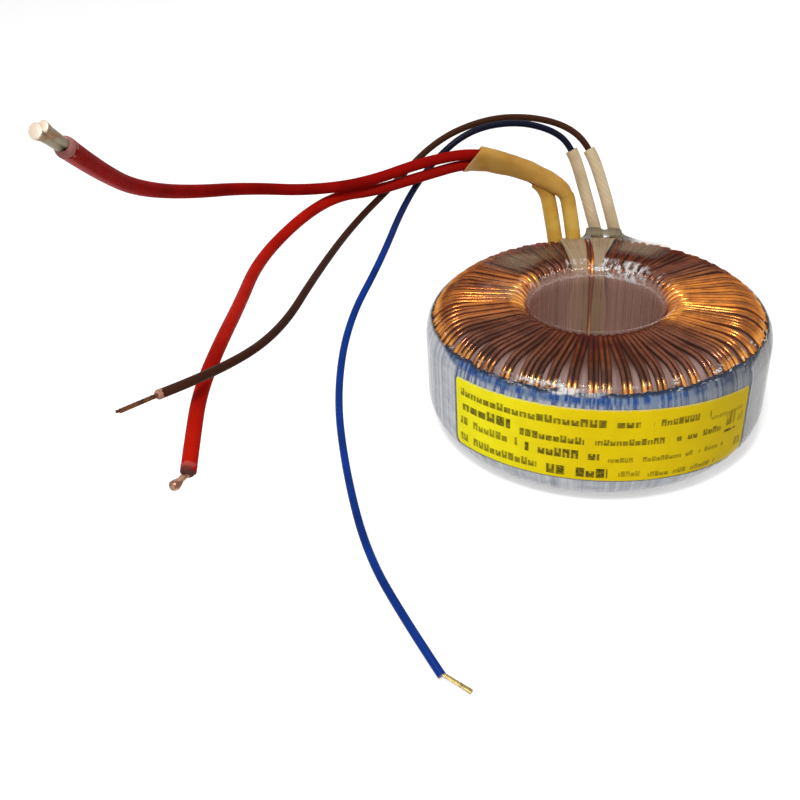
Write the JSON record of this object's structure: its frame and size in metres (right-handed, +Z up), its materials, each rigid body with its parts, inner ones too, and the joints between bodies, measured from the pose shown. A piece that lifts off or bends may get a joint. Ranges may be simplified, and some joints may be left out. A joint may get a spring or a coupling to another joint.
{
  "type": "toroidal transformer",
  "caption": "Ring-shaped mains transformer: copper winding on a toroidal core under clear film, with a round centre bore, sleeved exits and loose flying leads.",
  "frame": {"origin": "centre of the underside, on the toroid's axis", "axes": "+Z up along the axis of the bore; the middle of the label faces -Y and the leads leave the top at the back, +Y"},
  "size_m": [0.1509, 0.195, 0.1308],
  "materials": {
    "core_steel": "rolled strip, dull",
    "clear_film": "glossy clear polyester film",
    "black_plastic": "matt",
    "enamelled_copper": "copper wire under clear glossy enamel",
    "white_sleeving": "woven glass sleeving",
    "yellow_sleeving": "satin sleeving",
    "red_sleeving": "glossy sleeving",
    "tinned_copper": "solder over copper",
    "brown_insulation": "glossy insulation",
    "copper_strands": "tinned copper strands",
    "blue_insulation": "glossy insulation",
    "tan_sleeving": "waxy varnished sleeving",
    "blue_tape": "thin polyester tape",
    "yellow_label": "printed paper label",
    "white_tape": "cloth tape"
  },
  "bodies": {
    "root": {"core": "core_steel", "core_wrap": "clear_film", "thermal_cutout": "black_plastic", "primary_winding": "enamelled_copper", "white_sleeve_left": "white_sleeving", "white_sleeve_right": "white_sleeving", "yellow_sleeve_left": "yellow_sleeving", "yellow_sleeve_right": "yellow_sleeving", "red_lead_1": "red_sleeving", "red_lead_1_bare_end": "tinned_copper", "red_lead_2": "red_sleeving", "red_lead_2_bare_end": "tinned_copper", "brown_lead": "brown_insulation", "brown_lead_bare_end": "copper_strands", "blue_lead": "blue_insulation", "blue_lead_bare_end": "copper_strands", "binding_sleeve": "tan_sleeving", "secondary_winding": "enamelled_copper", "interwinding_film": "clear_film", "blue_tape": "blue_tape", "label": "yellow_label", "secondary_lead_tape": "white_tape", "primary_lead_tape": "white_tape", "outer_film": "clear_film"}
  },
  "joints": []
}
